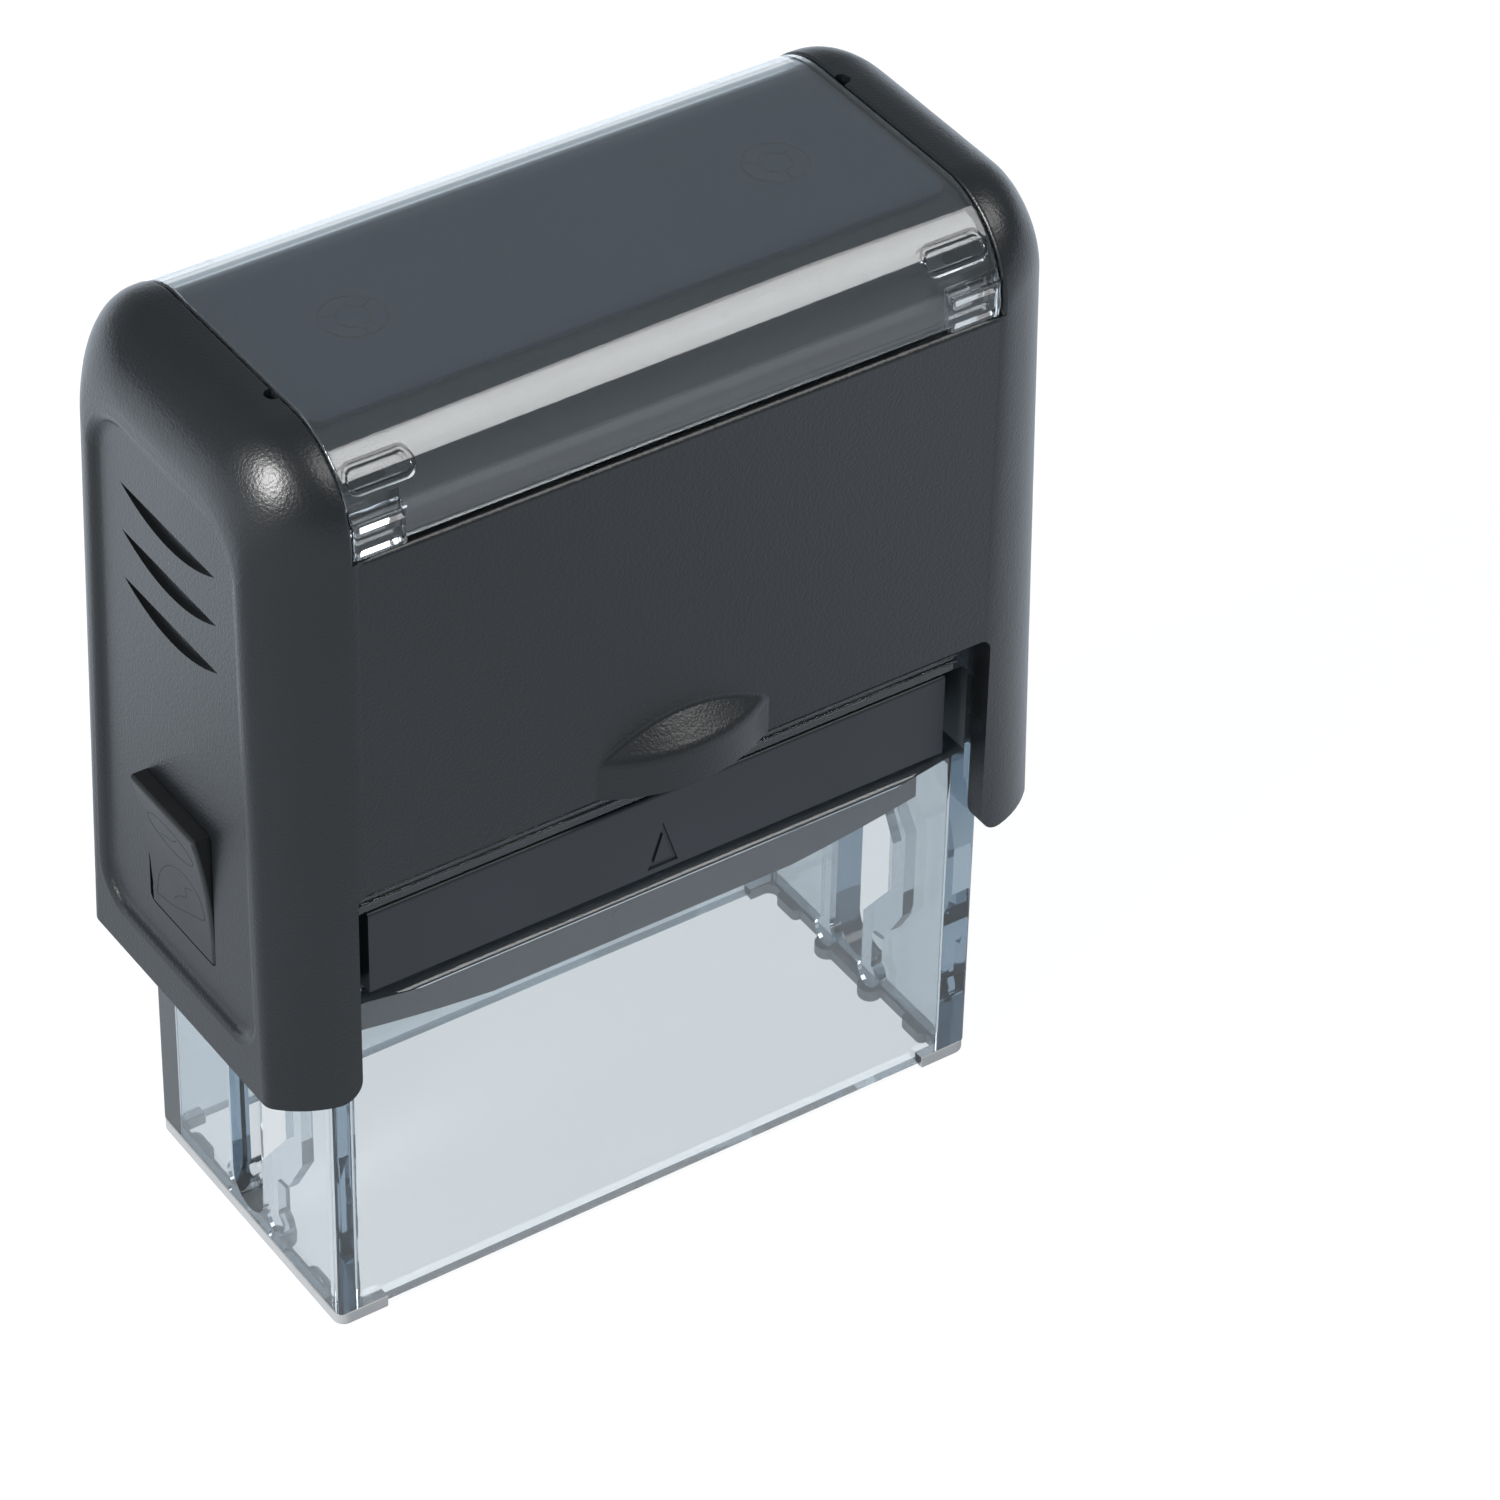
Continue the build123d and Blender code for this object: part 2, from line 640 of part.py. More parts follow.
def make_index_card():
    """Dark card under the window."""
    with BuildPart() as index_card:
        with BuildSketch(Plane.XY.offset(crown_top)):
            RectangleRounded(2 * window_half - 1.0, crown_depth - 2 * crown_edge - 0.4, 1.0)
        extrude(amount=card_thick)
    return index_card.part


def window_shell(thick):
    """Arched shell of a thickness, open below, with rounded ends and chamfers under its skirts."""
    half = window_depth / 2
    clear_of = half + 0.5
    skirt_low = window_bottom + window_lift
    with BuildPart(mode=Mode.PRIVATE) as shell:
        with BuildSketch(Plane.YZ):
            add(round_top(window_depth, cap_top, crown_radius))
        extrude(amount=window_half, both=True)
        fillet(shell.faces().filter_by(Axis.X).edges(), radius=window_edge)
        with BuildSketch(Plane.YZ):
            add(round_top(window_depth - 2 * thick, cap_top - thick, crown_radius - thick))
            with BuildLine():
                Polyline(
                    (-clear_of, 0),
                    (-clear_of, skirt_low + clear_of + skirt_chamfer - half),
                    (skirt_chamfer - half, skirt_low),
                    (half - skirt_chamfer, skirt_low),
                    (clear_of, skirt_low + clear_of + skirt_chamfer - half),
                    (clear_of, 0),
                    close=True,
                )
            make_face()
        extrude(amount=window_half + 1, both=True, mode=Mode.SUBTRACT)
    return shell.part


def window_rings():
    """Round-ended rings in the window's outer skin, one at each end of both long sides."""
    with BuildPart(mode=Mode.PRIVATE) as rings:
        add(window_shell(ring_deep))
        with BuildSketch(Plane.XZ):
            for x in (-1, 1):
                with Locations((x * (window_half - 0.3 - ring_length / 2), ring_z)):
                    SlotOverall(ring_length, ring_height)
                    island = ring_height - 2 * ring_width
                    SlotOverall(ring_length - 2 * ring_width, island, mode=Mode.SUBTRACT)
        extrude(amount=cap_depth, both=True, mode=Mode.INTERSECT)
    return rings.part


def make_index_window():
    """Clear cover over the crown; a clip at each corner holds it, and it lifts off to change the card."""
    clip_x = window_half - clip_length / 2
    clip_y = window_depth / 2 - 0.8
    with BuildPart() as index_window:
        add(window_shell(window_thick))
        add(window_rings(), mode=Mode.SUBTRACT)
        # clips on the inside of both skirts, and the feet they stand on
        with BuildSketch(Plane.XY.offset(window_bottom)):
            for x in (-1, 1):
                for y in (-1, 1):
                    with Locations((x * clip_x, y * clip_y)):
                        RectangleRounded(clip_length, 1.5, clip_edge)
        extrude(amount=clip_height)
        # sloping grip notches
        for x in (-1, 1):
            with BuildSketch(Plane.YZ.offset(x * (window_half - clip_length + 0.3))):
                for y in (-1, 1):
                    for low in (notch_low, notch_high):
                        outside = y * (window_depth / 2 + 0.1)
                        bottom = y * (window_depth / 2 - notch_deep)
                        with BuildLine():
                            Polyline(
                                (outside, low - 0.1),
                                (bottom, low + notch_deep),
                                (outside, low + notch_deep + 0.1),
                                close=True,
                            )
                        make_face()
            extrude(amount=x * (clip_length - 0.8), mode=Mode.SUBTRACT)
    return index_window.part


def make_axle():
    """Steel rod through the die, held in the casing's end walls."""
    with BuildPart() as axle:
        with BuildSketch(Plane.YZ):
            with Locations((0, axle_z)):
                Circle(axle_radius)
        extrude(amount=axle_half, both=True)
        chamfer(axle.edges(), length=0.25)
    return axle.part


def make_spring_guide(side):
    """Post with a head, fixed under the crown, that keeps a return spring upright."""
    with BuildPart() as spring_guide:
        with BuildSketch(Plane.XY.offset(crown_inner)):
            with Locations((side * spring_x, 0)):
                Circle(spring_radius + 0.3)
        extrude(amount=-1.0)
        with BuildSketch(Plane.XY.offset(crown_inner)):
            with Locations((side * spring_x, 0)):
                Circle(2.5)
        extrude(amount=-guide_length)
        chamfer(spring_guide.edges().group_by(Axis.Z)[0], length=0.8)
    return spring_guide.part


def make_return_spring(side):
    """Compression spring between the base's roof and the crown, as the closed sleeve that its coils fill."""
    with BuildPart() as return_spring:
        with BuildSketch(Plane.XY.offset(roof_top + 0.02)):
            with Locations((side * spring_x, 0)):
                Circle(spring_radius)
                Circle(spring_radius - spring_wire, mode=Mode.SUBTRACT)
        extrude(amount=crown_inner - 1.0 - roof_top - 0.04)
    return return_spring.part


def make_lock_button(side):
    """Wedge button in an end panel, proud at the top, with a flange inside that keeps it in its hole."""
    inner_x = cavity_half_length - 0.9
    with BuildPart() as lock_button:
        with BuildSketch(Plane.XZ):
            with BuildLine():
                top = (side * button_top_x, button_high)
                foot = (side * button_foot_x, button_low)
                ThreePointArc(foot, (side * (button_foot_x + 0.42), button_low + 6.6), top)
                Polyline(top, (side * inner_x, button_high), (side * inner_x, button_low), foot)
            make_face()
        extrude(amount=button_width / 2, both=True)
        fillet(lock_button.edges().filter_by(lambda e: abs((e @ 0.5).X) > 30.9), radius=0.3)
        with BuildSketch(Plane.YZ.offset(side * (cavity_half_length - 0.1))):
            with Locations((0, (button_low + button_high) / 2)):
                RectangleRounded(button_width + 2.0, button_high - button_low + 2.0, 0.8)
        extrude(amount=-side * 0.8)
    return lock_button.part


# ---------------------------------------------------------------- write every piece
finish(make_base_frame(), "base_frame")
finish(make_pad_tray(), "pad_tray")
finish(make_ink_pad(), "ink_pad")
finish(make_die_carrier(), "die_carrier")
finish(make_die_cushion(), "die_cushion")
finish(make_text_plate(), "text_plate")
finish(make_casing(), "casing")
finish(make_index_card(), "index_card")
finish(make_index_window(), "index_window")
finish(make_axle(), "axle")
for name, side in SIDES:
    finish(make_foot(side), f"foot_{name}")
    finish(make_hub_bush(side), f"hub_bush_{name}")
    finish(make_cam_pin(side), f"cam_pin_{name}")
    finish(make_spring_guide(side), f"spring_guide_{name}")
    finish(make_return_spring(side), f"return_spring_{name}")
    finish(make_lock_button(side), f"lock_button_{name}")
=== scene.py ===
import bpy
import bmesh
import math
from mathutils import Matrix, Vector


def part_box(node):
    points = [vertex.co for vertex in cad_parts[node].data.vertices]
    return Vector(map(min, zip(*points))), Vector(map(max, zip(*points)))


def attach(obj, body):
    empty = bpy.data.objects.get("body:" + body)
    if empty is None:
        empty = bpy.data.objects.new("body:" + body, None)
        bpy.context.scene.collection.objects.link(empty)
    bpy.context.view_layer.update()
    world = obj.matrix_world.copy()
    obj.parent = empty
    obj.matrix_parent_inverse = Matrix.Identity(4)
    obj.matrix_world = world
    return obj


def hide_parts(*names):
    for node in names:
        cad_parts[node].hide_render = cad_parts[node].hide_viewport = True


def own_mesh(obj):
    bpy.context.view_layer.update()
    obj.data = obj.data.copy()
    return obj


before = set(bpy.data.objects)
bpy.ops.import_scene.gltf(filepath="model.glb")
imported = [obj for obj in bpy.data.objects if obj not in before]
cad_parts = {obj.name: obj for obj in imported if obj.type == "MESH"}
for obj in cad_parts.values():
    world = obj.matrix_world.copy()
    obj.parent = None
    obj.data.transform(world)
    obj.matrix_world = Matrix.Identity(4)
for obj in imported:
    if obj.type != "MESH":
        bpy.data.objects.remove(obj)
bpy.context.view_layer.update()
scene = bpy.context.scene
MM = 0.001
SIDES = (("left", -1), ("right", 1))
LAMP_DISTANCE = 0.60
CLEAR_IOR = 1.53
MARK_SIDES = 6  # flats round the thin tubes that draw the marks


# ------------------------------------------------------------------ stage, light, camera
def make_stage():
    """A wide pale floor. The camera, and whatever looks through the clear plastic, sees it evenly lit."""
    mesh = bpy.data.meshes.new("floor")
    half = 3.0
    gap = 0.1 * MM
    corners = [(-half, -half, 0), (half, -half, 0), (half, half, 0), (-half, half, 0)]
    mesh.from_pydata(corners, [], [(0, 1, 2, 3)])
    floor = bpy.data.objects.new("floor", mesh)
    scene.collection.objects.link(floor)
    floor.location.z = -gap
    mat = bpy.data.materials.new("floor_paper")
    mat.use_nodes = True
    nodes, links = mat.node_tree.nodes, mat.node_tree.links
    nodes.clear()
    seen, bounce = nodes.new("ShaderNodeEmission"), nodes.new("ShaderNodeEmission")
    seen.inputs["Color"].default_value = (0.93, 0.935, 0.94, 1)
    bounce.inputs["Color"].default_value = (0.54, 0.60, 0.67, 1)
    paper = nodes.new("ShaderNodeBsdfDiffuse")
    paper.inputs["Color"].default_value = (0.10, 0.10, 0.10, 1)
    # the light that the floor throws back grows behind the stamp and to its right
    place = nodes.new("ShaderNodeSeparateXYZ")
    links.new(nodes.new("ShaderNodeTexCoord").outputs["Object"], place.inputs[0])
    grown = []
    for axis, start, end, gain in (("X", 36, 75, 1.5), ("Y", 34, 80, 2.0)):
        span = nodes.new("ShaderNodeMapRange")
        span.interpolation_type = "SMOOTHSTEP"
        span.inputs["From Min"].default_value = start * MM
        span.inputs["From Max"].default_value = end * MM
        span.inputs["To Min"].default_value = 1.0
        span.inputs["To Max"].default_value = gain
        links.new(place.outputs[axis], span.inputs["Value"])
        grown.append(span.outputs[0])
    path = nodes.new("ShaderNodeLightPath")
    pick, add = nodes.new("ShaderNodeMixShader"), nodes.new("ShaderNodeAddShader")
    seen_rays = (path.outputs["Is Camera Ray"], path.outputs["Is Transmission Ray"])
    for pair, target in ((grown, bounce.inputs["Strength"]), (seen_rays, pick.inputs[0])):
        larger = nodes.new("ShaderNodeMath")
        larger.operation = "MAXIMUM"
        links.new(pair[0], larger.inputs[0])
        links.new(pair[1], larger.inputs[1])
        links.new(larger.outputs[0], target)
    links.new(bounce.outputs[0], pick.inputs[1])
    links.new(seen.outputs[0], pick.inputs[2])
    links.new(pick.outputs[0], add.inputs[0])
    links.new(paper.outputs[0], add.inputs[1])
    links.new(add.outputs[0], nodes.new("ShaderNodeOutputMaterial").inputs["Surface"])
    mesh.materials.append(mat)


def area_light(name, direction, width, height, power, color):
    """A soft rectangular lamp, seen from the stamp's upper part in a direction and turned towards it."""
    data = bpy.data.lights.new(name, "AREA")
    data.energy = power
    data.color = color
    data.shape = "RECTANGLE"
    data.size = width
    data.size_y = height
    lamp = bpy.data.objects.new(name, data)
    scene.collection.objects.link(lamp)
    aim = Vector((0, 0, 60)) * MM
    lamp.location = aim + Vector(direction).normalized() * LAMP_DISTANCE
    lamp.rotation_euler = (aim - lamp.location).to_track_quat("-Z", "Y").to_euler()


def make_light():
    """A cool even surround and three soft lamps."""
    world = bpy.data.worlds.new("studio")
    scene.world = world
    world.use_nodes = True
    back = world.node_tree.nodes["Background"]
    back.inputs["Color"].default_value = (0.82, 0.92, 1.0, 1)
    back.inputs["Strength"].default_value = 0.42
    # draws the pale band along the front of the window
    area_light("key", (0.44, -0.46, 0.77), 0.34, 0.30, 1.7, (1.0, 0.975, 0.955))
    # a little light on the left end
    area_light("left_fill", (-0.85, -0.15, 0.45), 0.40, 0.40, 0.2, (0.93, 0.98, 1.0))
    # draws the round sheen on the cap's near top corner
    area_light("corner", (-0.80, -0.16, 0.50), 0.17, 0.29, 6.0, (1.0, 0.99, 0.98))
    scene.view_settings.view_transform = "Standard"


def make_camera():
    """A long lens from the front left, well above the stamp, with a slight roll."""
    azimuth, elevation, roll = math.radians(-34.82), math.radians(39.38), math.radians(1.385)
    distance = 430.9 * MM
    target = Vector((8.10, -10.66, 35.62)) * MM
    level = math.cos(elevation)
    back = Vector((math.sin(azimuth) * level, -math.cos(azimuth) * level, math.sin(elevation)))
    right = (-back).cross(Vector((0, 0, 1))).normalized()
    up = right.cross(-back)
    turned_right = math.cos(roll) * right + math.sin(roll) * up
    turned_up = math.cos(roll) * up - math.sin(roll) * right
    data = bpy.data.cameras.new("camera")
    data.sensor_width = 36
    data.lens = 150.24
    data.clip_start, data.clip_end = 0.01, 20
    camera = bpy.data.objects.new("camera", data)
    scene.collection.objects.link(camera)
    axes = Matrix((turned_right, turned_up, back)).transposed()
    camera.matrix_world = Matrix.Translation(target + back * distance) @ axes.to_4x4()
    scene.camera = camera


# ------------------------------------------------------------------ materials
class Finish:
    """A Principled material with helpers for drift of tone, grain and clear plastic."""

    def __init__(self, name, color, roughness, ior=1.5, metallic=0.0):
        self.mat = bpy.data.materials.new(name)
        self.mat.use_nodes = True
        self.nodes, self.links = self.mat.node_tree.nodes, self.mat.node_tree.links
        self.shader = self.nodes["Principled BSDF"]
        self.color, self.roughness = color, roughness
        self.shader.inputs["Base Color"].default_value = (*color, 1)
        self.shader.inputs["Roughness"].default_value = roughness
        self.shader.inputs["IOR"].default_value = ior
        self.shader.inputs["Metallic"].default_value = metallic
        self.place = self.nodes.new("ShaderNodeTexCoord").outputs["Object"]

    def noise(self, size, detail=2.0, stretch=(1, 1, 1)):
        """Noise whose lumps measure about size, in millimetres."""
        place = self.place
        if stretch != (1, 1, 1):
            mapping = self.nodes.new("ShaderNodeMapping")
            mapping.inputs["Scale"].default_value = stretch
            self.links.new(place, mapping.inputs["Vector"])
            place = mapping.outputs[0]
        texture = self.nodes.new("ShaderNodeTexNoise")
        texture.inputs["Scale"].default_value = 1 / (size * MM)
        texture.inputs["Detail"].default_value = detail
        self.links.new(place, texture.inputs["Vector"])
        return texture.outputs["Fac"]

    def spread(self, value, low, high):
        """A noise value's middle range, where nearly all of it lies, turned into the range low to high."""
        span = self.nodes.new("ShaderNodeMapRange")
        span.inputs["From Min"].default_value = 0.3
        span.inputs["From Max"].default_value = 0.7
        span.inputs["To Min"].default_value = low
        span.inputs["To Max"].default_value = high
        self.links.new(value, span.inputs["Value"])
        return span.outputs[0]

    def drift(self, size, amount, rough_amount=0.0):
        """Slow changes of tone, and of roughness, across a surface."""
        value = self.noise(size)
        mix = self.nodes.new("ShaderNodeMix")
        mix.data_type = "RGBA"
        mix.inputs["A"].default_value = (*(c * (1 - amount) for c in self.color), 1)
        mix.inputs["B"].default_value = (*(min(1, c * (1 + amount)) for c in self.color), 1)
        self.links.new(self.spread(value, 0, 1), mix.inputs["Factor"])
        self.links.new(mix.outputs["Result"], self.shader.inputs["Base Color"])
        if rough_amount:
            rough = self.spread(value, self.roughness - rough_amount, self.roughness + rough_amount)
            self.links.new(rough, self.shader.inputs["Roughness"])
        return self

    def grain(self, size, height, detail=2.0, stretch=(1, 1, 1)):
        """Fine relief: lumps of a size, standing up by a height, both in millimetres."""
        bump = self.nodes.new("ShaderNodeBump")
        bump.inputs["Strength"].default_value = 1.0
        bump.inputs["Distance"].default_value = height * MM
        self.links.new(self.noise(size, detail, stretch), bump.inputs["Height"])
        self.links.new(bump.outputs[0], self.shader.inputs["Normal"])
        return self

    def clear(self, absorbed, density, clarity):
        """Clear plastic that takes up light with depth, with a slight haze where clarity is below 1."""
        self.shader.inputs["Transmission Weight"].default_value = clarity
        volume = self.nodes.new("ShaderNodeVolumeAbsorption")
        volume.inputs["Color"].default_value = (*absorbed, 1)
        volume.inputs["Density"].default_value = density
        self.links.new(volume.outputs[0], self.nodes["Material Output"].inputs["Volume"])


def dress(finish, *names):
    """Gives a finish to CAD nodes."""
    for name in names:
        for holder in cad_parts[name].material_slots:
            holder.material = finish.mat


def make_finishes():
    """Every material of the stamp, by name."""
    made = {}
    made["casing"] = Finish("casing_black", (0.0042, 0.0049, 0.0057), 0.32).drift(14, 0.12, 0.02)
    made["casing"].grain(0.22, 0.030)
    made["button"] = Finish("button_black", (0.006, 0.0065, 0.007), 0.40).drift(4, 0.12, 0.03)
    made["button"].grain(0.20, 0.014)
    made["tray"] = Finish("tray_black", (0.010, 0.012, 0.016), 0.36).drift(9, 0.15, 0.03).grain(0.5, 0.004)
    made["card"] = Finish("card_dark", (0.008, 0.015, 0.028), 0.50).drift(12, 0.08, 0.02).grain(0.3, 0.003)
    made["chassis"] = Finish("chassis_black", (0.014, 0.014, 0.015), 0.40).drift(6, 0.12).grain(0.4, 0.006)
    made["carrier"] = Finish("carrier_grey", (0.020, 0.024, 0.030), 0.40).drift(10, 0.10, 0.03)
    made["carrier"].grain(0.6, 0.003)
    made["bush"] = Finish("bush_black", (0.012, 0.013, 0.015), 0.35).drift(2, 0.04).grain(0.25, 0.003)
    made["steel"] = Finish("steel", (0.60, 0.60, 0.62), 0.22, metallic=1.0).drift(2, 0.06, 0.05)
    made["steel"].grain(0.08, 0.002, stretch=(0.04, 1, 1))
    made["spring"] = Finish("spring_steel", (0.52, 0.52, 0.53), 0.26, metallic=1.0).drift(1.5, 0.10, 0.06)
    made["spring"].grain(0.06, 0.002)
    made["rubber"] = Finish("die_rubber", (0.30, 0.035, 0.028), 0.62).drift(2.5, 0.30, 0.08)
    made["rubber"].grain(0.15, 0.010)
    made["foam"] = Finish("foam", (0.045, 0.045, 0.048), 0.85).drift(0.5, 0.35).grain(0.22, 0.05, detail=4)
    made["felt"] = Finish("ink_felt", (0.17, 0.010, 0.012), 0.78).drift(3, 0.35, 0.08)
    made["felt"].grain(0.12, 0.05, detail=5)
    made["foot"] = Finish("frosted_foot", (0.40, 0.405, 0.408), 0.50).drift(3, 0.04, 0.04).grain(0.12, 0.010)
    # frosted, so only part of the light goes through
    made["foot"].shader.inputs["Transmission Weight"].default_value = 0.20
    made["clear"] = Finish("clear_plastic", (0.78, 0.80, 0.805), 0.015, CLEAR_IOR).grain(6.0, 0.006, 0.0)
    made["clear"].clear((0.05, 0.28, 0.46), 120, 0.965)
    made["window"] = Finish("clear_window", (0.90, 0.94, 0.97), 0.045, CLEAR_IOR).grain(9.0, 0.002, 0.0)
    made["window"].clear((0.10, 0.28, 0.41), 60, 0.99)
    # painted shade: this near-black, darker than the buttons and the card, stands for the shade inside the
    # engraved strokes and moulded rings; the thin tubes that carry it add a little real relief
    made["mark"] = Finish("mark_painted_groove_shade", (0.004, 0.004, 0.0045), 0.6).drift(1, 0.2).grain(0.1, 0.004)
    return made


def dress_nodes(made):
    """Gives every CAD node that stays visible its finish."""
    dress(made["casing"], "casing")
    dress(made["button"], "lock_button_left", "lock_button_right")
    dress(made["tray"], "pad_tray")
    dress(made["card"], "index_card")
    dress(made["chassis"], "spring_guide_left", "spring_guide_right")
    dress(made["carrier"], "die_carrier")
    dress(made["bush"], "hub_bush_left", "hub_bush_right")
    dress(made["steel"], "axle", "cam_pin_left", "cam_pin_right")
    dress(made["rubber"], "text_plate")
    dress(made["foot"], "foot_left", "foot_right")
    dress(made["clear"], "base_frame")
    dress(made["window"], "index_window")


# ------------------------------------------------------------------ pieces made here
def new_piece(name, bm, finish):
    """Links a finished bmesh as a smooth-shaded object."""
    bmesh.ops.recalc_face_normals(bm, faces=bm.faces)
    mesh = bpy.data.meshes.new(name)
    bm.to_mesh(mesh)
    bm.free()
    for face in mesh.polygons:
        face.use_smooth = True
    mesh.materials.append(finish.mat)
    piece = bpy.data.objects.new(name, mesh)
    scene.collection.objects.link(piece)
    return piece


def soft_block(name, node, finish, corner, edge, crown):
    """A slab that fills a CAD node's box, rounded in plan and soft at its edges; crown is how far the
    middle of the bottom face swells below its rim."""
    low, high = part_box(node)
    middle, half = (low + high) / 2, (high - low) / 2
    spacing = 0.9 * MM
    columns, rows = max(8, int(2 * half.x / spacing)), max(6, int(2 * half.y / spacing))
    bm = bmesh.new()

    def point(u, v, level, inset):
        """A vertex of a rounded rectangle's grid, u and v from -1 to 1, pulled in by inset."""
        x, y = u * (half.x - inset), v * (half.y - inset)
        over_x, over_y = abs(x) - (half.x - inset - corner), abs(y) - (half.y - inset - corner)
        if over_x > 0 and over_y > 0:
            reach = max(over_x, over_y)
            scale = reach / math.hypot(over_x, over_y)
            x = math.copysign(half.x - inset - corner + over_x * scale, x)
            y = math.copysign(half.y - inset - corner + over_y * scale, y)
        return bm.verts.new((middle.x + x, middle.y + y, level))

    # rings from the top face's rim, round the two soft edges, to the bottom face's rim
    turns = 5
    profile = []
    for step in range(turns + 1):
        angle = math.pi / 2 * step / turns
        profile.append((edge * (1 - math.sin(angle)), high.z - edge * (1 - math.cos(angle))))
    for step in range(turns + 1):
        angle = math.pi / 2 * step / turns
        profile.append((edge * (1 - math.cos(angle)), low.z + crown + edge * (1 - math.sin(angle))))
    border = [(-1 + 2 * i / columns, -1) for i in range(columns)]
    border += [(1, -1 + 2 * i / rows) for i in range(rows)]
    border += [(1 - 2 * i / columns, 1) for i in range(columns)]
    border += [(-1, 1 - 2 * i / rows) for i in range(rows)]
    rings = [[point(u, v, level, inset) for u, v in border] for inset, level in profile]
    for upper, lower in zip(rings, rings[1:]):
        for i in range(len(border)):
            j = (i + 1) % len(border)
            bm.faces.new((upper[i], upper[j], lower[j], lower[i]))
    # both faces as grids that share the rims' points
    for ring, (inset, level), way in ((rings[0], profile[0], 0), (rings[-1], profile[-1], -1)):
        grid = {}
        for i in range(columns + 1):
            for k in range(rows + 1):
                u, v = -1 + 2 * i / columns, -1 + 2 * k / rows
                if k == 0 and i < columns:
                    grid[i, k] = ring[i]
                elif i == columns and k < rows:
                    grid[i, k] = ring[columns + k]
                elif k == rows and i > 0:
                    grid[i, k] = ring[2 * columns + rows - i]
                elif i == 0 and k > 0:
                    grid[i, k] = ring[2 * (columns + rows) - k]
                else:
                    swell = crown * (1 - u * u) ** 0.5 * (1 - v * v) ** 0.5
                    grid[i, k] = point(u, v, level + way * swell, inset)
        for i in range(columns):
            for k in range(rows):
                bm.faces.new((grid[i, k], grid[i + 1, k], grid[i + 1, k + 1], grid[i, k + 1]))
    return new_piece(name, bm, finish)


def make_ink_pad(made):
    """Felt-covered foam pad, soaked with ink, that sags a little between the tray's walls."""
    pad = soft_block("ink_pad_felt", "ink_pad", made["felt"], corner=0.7 * MM, edge=0.6 * MM, crown=0.22 * MM)
    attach(pad, "base")
    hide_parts("ink_pad")


def make_die_foam(made):
    """Thin foam sheet that lets the printing plate level itself on the paper."""
    foam = soft_block("die_foam", "die_cushion", made["foam"], corner=0.5 * MM, edge=0.22 * MM, crown=0.0)
    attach(foam, "die")
    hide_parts("die_cushion")


def tube(bm, path, radius, sides, closed=False):
    """Sweeps a round section along a list of points into a bmesh."""
    rings = []
    count = len(path)
    normal = None
    for i, here in enumerate(path):
        before = path[i - 1] if i or closed else here
        after = path[(i + 1) % count] if i < count - 1 or closed else here
        along = (after - before).normalized()
        if normal is None:
            normal = along.orthogonal().normalized()
        normal = (normal - along * normal.dot(along)).normalized()
        across = along.cross(normal)
        ring = []
        for k in range(sides):
            angle = 2 * math.pi * k / sides
            ring.append(bm.verts.new(here + radius * (math.cos(angle) * normal + math.sin(angle) * across)))
        rings.append(ring)
    pairs = list(zip(rings, rings[1:]))
    if closed:
        pairs.append((rings[-1], rings[0]))
    for one, two in pairs:
        for k in range(sides):
            n = (k + 1) % sides
            bm.faces.new((one[k], one[n], two[n], two[k]))
    if not closed:
        bm.faces.new(rings[0])
        bm.faces.new(reversed(rings[-1]))


def make_return_springs(made):
    """Coil springs in place of the CAD sleeves; each end coil lies closed and flat."""
    wire = 0.75 * MM
    turns, end_turns, steps = 10.5, 1.0, 28
    for name, side in SIDES:
        node = f"return_spring_{name}"
        low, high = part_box(node)
        centre, radius = (low + high) / 2, (high.x - low.x) / 2 - wire / 2
        bottom, top = low.z + wire / 2, high.z - wire / 2
        path = []
        for i in range(int(turns * steps) + 1):
            turn = i / steps
            # the end coils climb by one wire each, and the rest share what is left
            if turn < end_turns:
                z = bottom + wire * turn
            elif turn > turns - end_turns:
                z = top - wire * (turns - turn)
            else:
                share = (turn - end_turns) / (turns - 2 * end_turns)
                z = bottom + wire * end_turns + share * (top - bottom - 2 * wire * end_turns)
            angle = 2 * math.pi * turn * side
            path.append(Vector((centre.x + radius * math.cos(angle), centre.y + radius * math.sin(angle), z)))
        bm = bmesh.new()
        tube(bm, path, wire / 2, sides=10)
        spring = new_piece(f"coil_{name}", bm, made["spring"])
        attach(spring, "base")
        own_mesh(spring)
        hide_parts(node)


def on_surface(node, start, way):
    """Where a line from start, going way, first meets a CAD node."""
    hit, place, _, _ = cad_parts[node].ray_cast(Vector(start), Vector(way))
    if not hit:
        raise ValueError(f"the line from {start} misses {node}")
    return place


def smooth_line(points, per_span=8):
    """A Catmull-Rom curve through points given as pairs."""
    out = []
    ext = [points[0]] + points + [points[-1]]
    for a, b, c, d in zip(ext, ext[1:], ext[2:], ext[3:]):
        for k in range(per_span):
            t = k / per_span
            out.append(tuple(
                0.5 * (2 * b[n] + (c[n] - a[n]) * t + (2 * a[n] - 5 * b[n] + 4 * c[n] - d[n]) * t * t
                       + (3 * b[n] - a[n] - 3 * c[n] + d[n]) * t ** 3)
                for n in (0, 1)))
    out.append(points[-1])
    return out


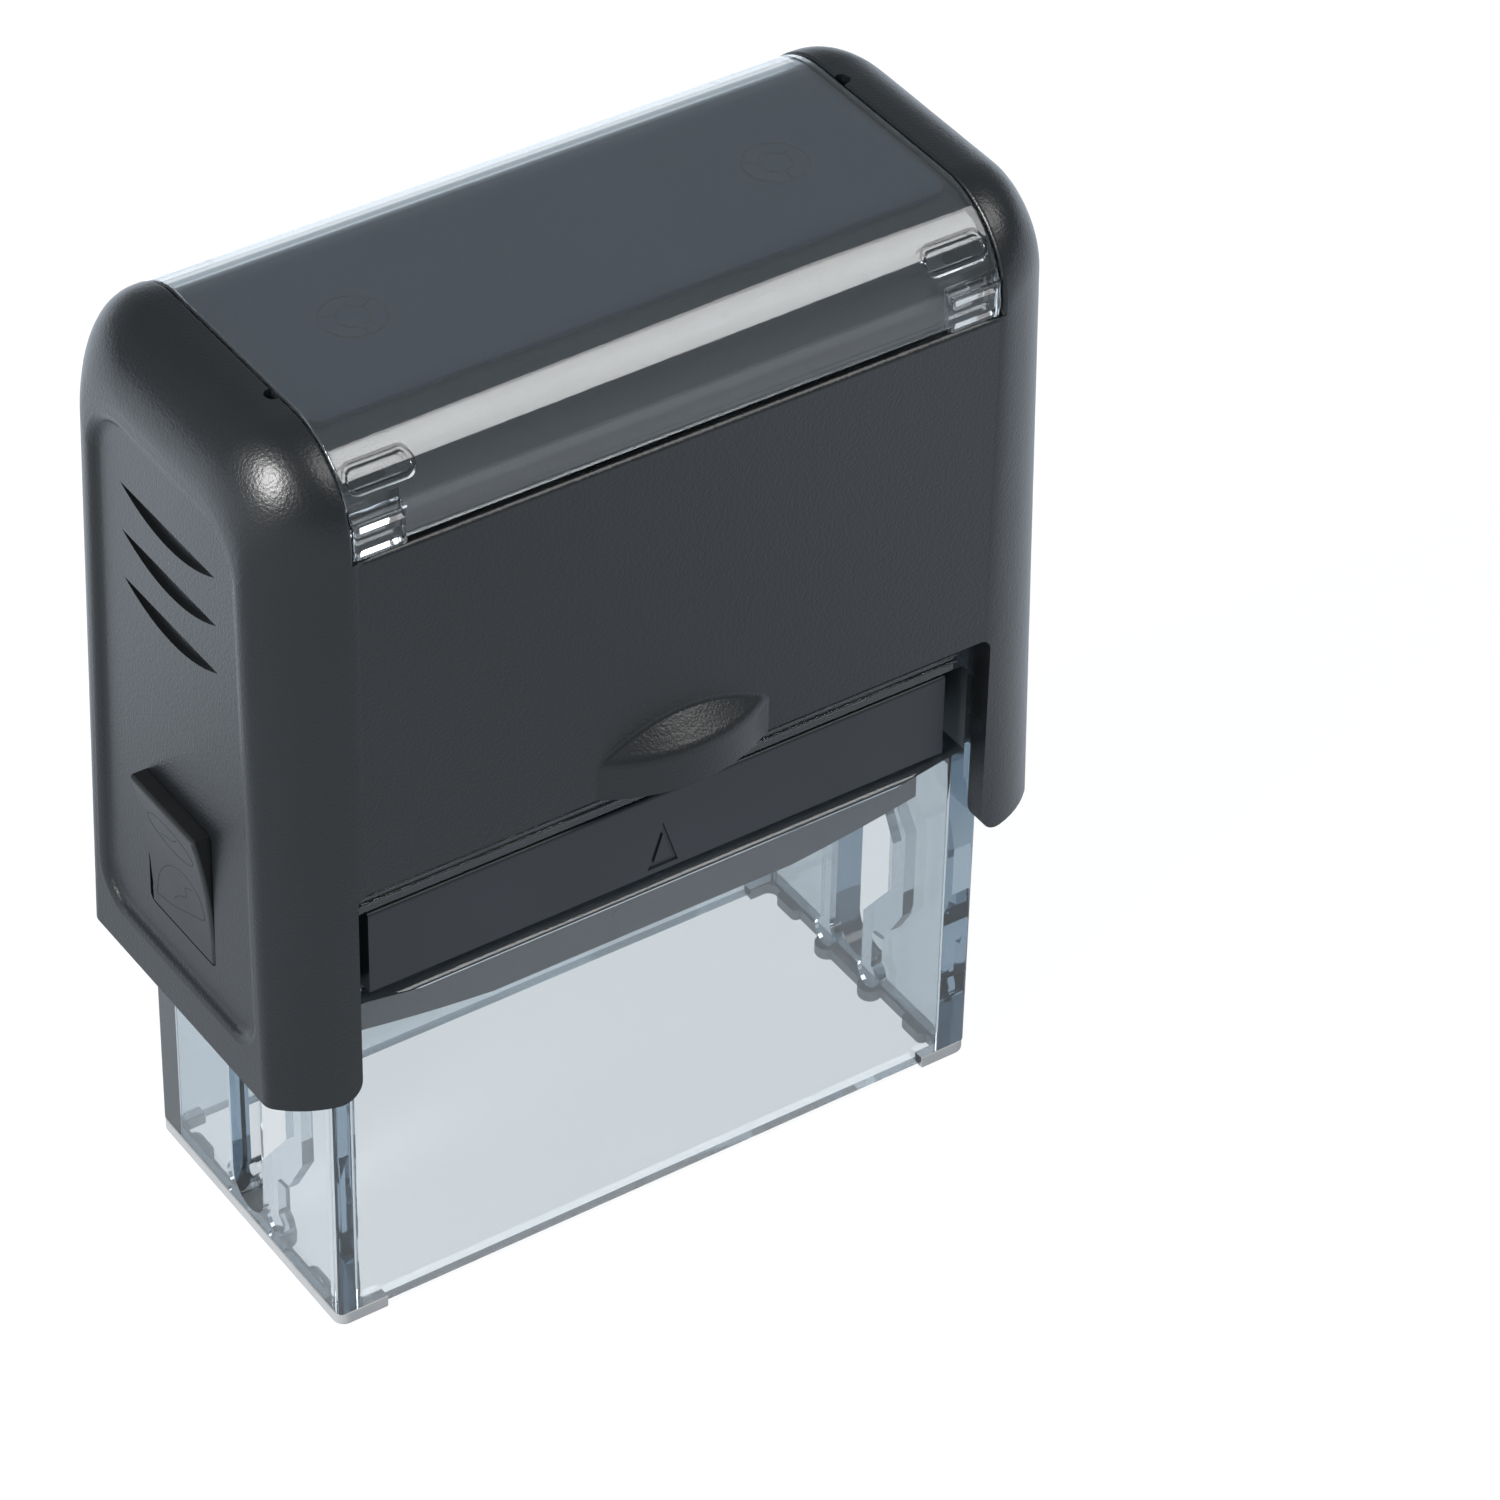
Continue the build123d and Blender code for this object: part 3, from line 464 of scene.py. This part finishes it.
def make_button_marks(made):
    """Plain engraved strokes on each lock button, drawn as y and z in millimetres: a flat oval with a short
    stroke in it above, and a dome with a wavy stroke below."""
    radius = 0.085 * MM
    sunk = 0.75  # share of the radius
    outside = 40 * MM
    angles = [math.radians(15 * k) for k in range(25)]
    oval = [(3.0 * math.cos(a) - 0.2, 38.3 + 1.15 * math.sin(a)) for a in angles]
    dome = smooth_line([(-3.3, 33.9), (-2.9, 35.0), (-1.2, 35.7), (1.0, 34.9), (2.7, 33.0), (3.5, 30.6)])
    sill = smooth_line([(-3.3, 33.9), (-3.2, 33.0), (-1.0, 32.0), (1.2, 31.1), (3.5, 30.6)])
    wave = smooth_line([(-1.9, 34.7), (-1.0, 34.3), (-0.9, 33.4), (0.2, 32.7), (0.9, 32.0)])
    dash = smooth_line([(-1.2, 38.9), (-0.6, 38.4), (0.5, 38.0), (1.3, 37.7)])
    for name, side in SIDES:
        node = f"lock_button_{name}"
        bm = bmesh.new()
        for line in (oval, dome, sill, wave, dash):
            path = []
            for y, z in line:
                place = on_surface(node, (side * outside, y * MM, z * MM), (-side, 0, 0))
                path.append(place - Vector((side * radius * sunk, 0, 0)))
            tube(bm, path, radius, MARK_SIDES)
        # painted shade: the strokes' darker colour stands for the shade in the engraved grooves; the tubes,
        # mostly sunk into the button, stand only slightly proud
        mark = new_piece(f"button_mark_{name}", bm, made["mark"])
        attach(mark, f"lock_{name}")


def make_crown_marks(made):
    """Two faint round moulding marks on the card, above the springs."""
    inner, outer, thickness = 1.15, 2.3, 0.07 * MM
    points, spokes = 48, (0.5, 2.6, 4.7)
    low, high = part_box("index_card")
    top = high.z
    for name, _ in SIDES:
        spring_low, spring_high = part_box(f"return_spring_{name}")
        x = (spring_low.x + spring_high.x) / 2
        centre = Vector((x, 0, top))
        bm = bmesh.new()
        for radius in (outer, inner):
            ring = [Vector((x + radius * MM * math.cos(a), radius * MM * math.sin(a), top))
                    for a in (2 * math.pi * k / points for k in range(points))]
            tube(bm, ring, thickness, MARK_SIDES, closed=True)
        for angle in spokes:
            way = Vector((math.cos(angle), math.sin(angle), 0)) * MM
            tube(bm, [centre + way * inner, centre + way * outer], thickness, MARK_SIDES)
        # painted shade: the rings' and spokes' near-black stands for the shade of the moulded relief; the
        # tubes, half sunk into the card, give a little real relief
        mark = new_piece(f"crown_mark_{name}", bm, made["mark"])
        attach(mark, "cap")


# ------------------------------------------------------------------ build
make_stage()
make_light()
make_camera()
finishes = make_finishes()
dress_nodes(finishes)
make_ink_pad(finishes)
make_die_foam(finishes)
make_return_springs(finishes)
make_button_marks(finishes)
make_crown_marks(finishes)
